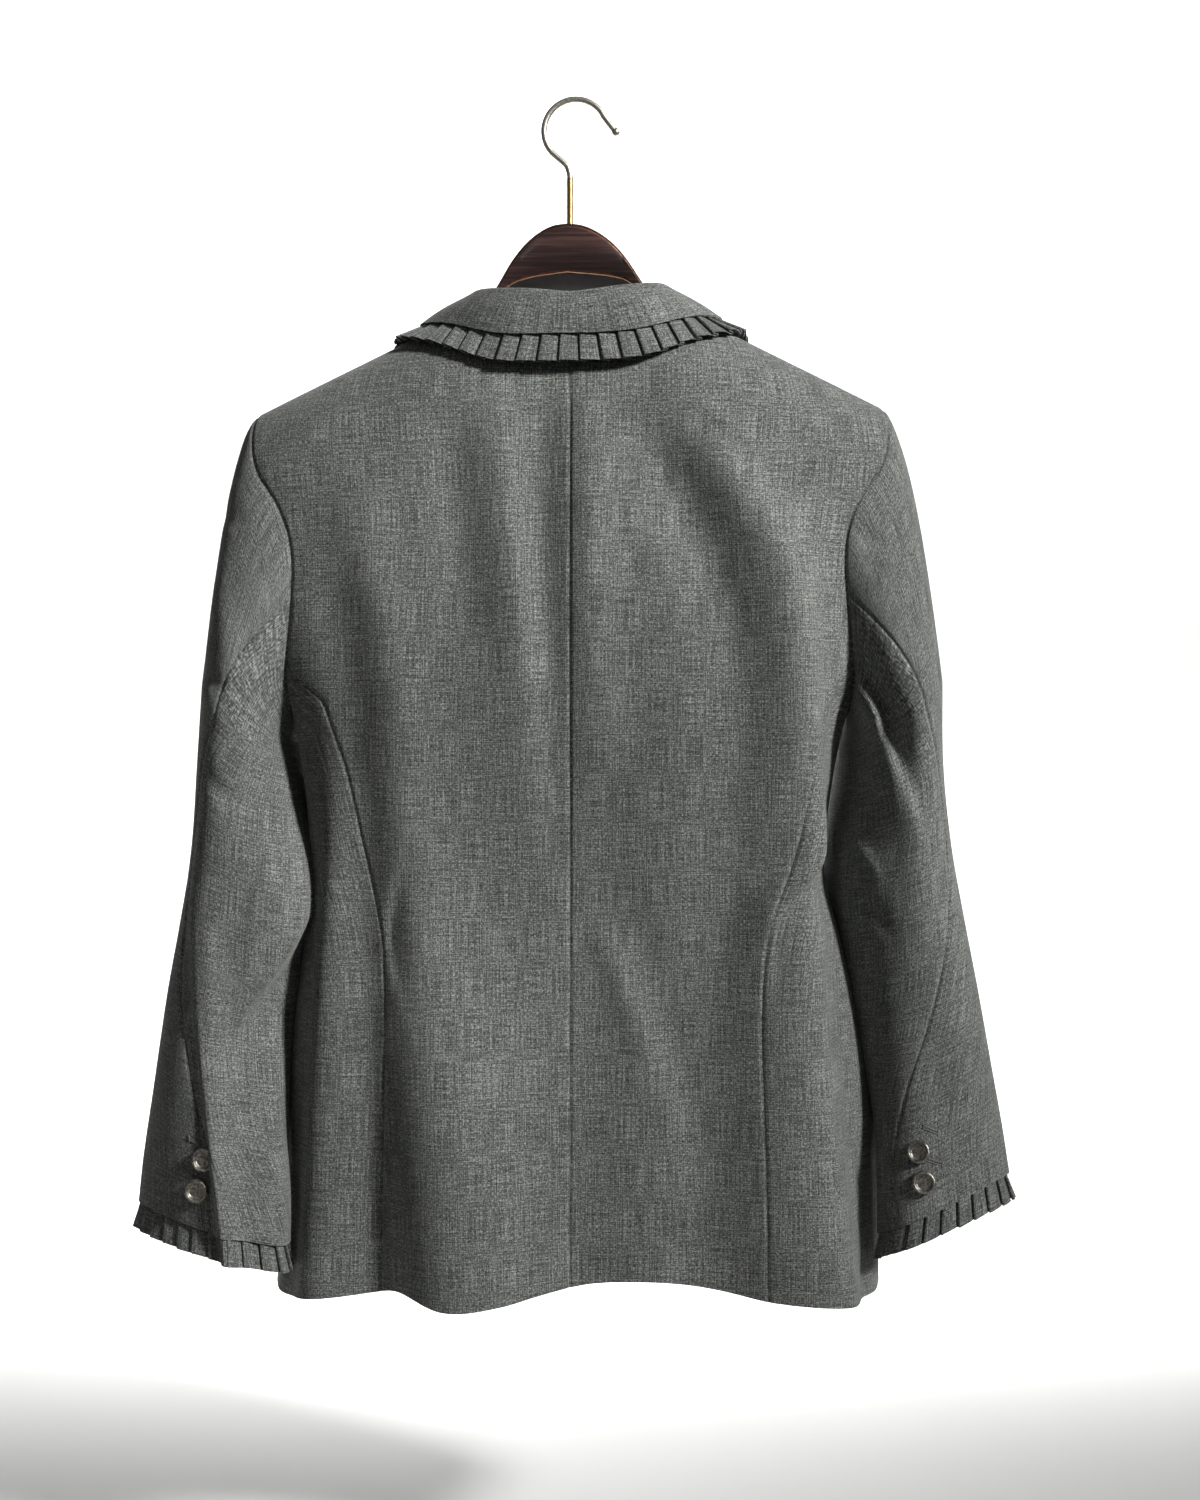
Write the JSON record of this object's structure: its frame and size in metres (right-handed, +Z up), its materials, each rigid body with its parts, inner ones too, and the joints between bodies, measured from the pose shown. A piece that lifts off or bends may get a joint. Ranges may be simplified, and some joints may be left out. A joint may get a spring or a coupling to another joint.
{
  "type": "wool blazer on a wooden hanger",
  "caption": "Tailored wool blazer with pleated trim at collar and cuffs, hung on a shaped wooden hanger with a metal hook.",
  "frame": {"origin": "top of the hook's inside, where the hanger bears on its rail", "axes": "+Z up along the hook's shaft, -Y out of the blazer's back, +X to the right of a viewer of that back"},
  "size_m": [0.5825, 0.1559, 0.7955],
  "materials": {
    "cloth": "matt tweed weave",
    "trim_cloth": "matt plain weave",
    "button_metal": "aged, satin",
    "wood": "dark stained, glossy lacquer",
    "hook_metal": "polished"
  },
  "bodies": {
    "root": {"back_left": "cloth", "side_left": "cloth", "front_left": "cloth", "lapel_left": "cloth", "sleeve_upper_left": "cloth", "sleeve_under_left": "cloth", "cuff_trim_left": "trim_cloth", "back_right": "cloth", "side_right": "cloth", "front_right": "cloth", "lapel_right": "cloth", "sleeve_upper_right": "cloth", "sleeve_under_right": "cloth", "cuff_trim_right": "trim_cloth", "collar": "cloth", "collar_trim": "trim_cloth", "cuff_button_left_upper": "button_metal", "cuff_button_left_lower": "button_metal", "cuff_button_right_upper": "button_metal", "cuff_button_right_lower": "button_metal", "front_button_1": "button_metal", "front_button_2": "button_metal", "front_button_3": "button_metal", "hanger_body": "wood", "hanger_hook": "hook_metal"}
  },
  "joints": []
}
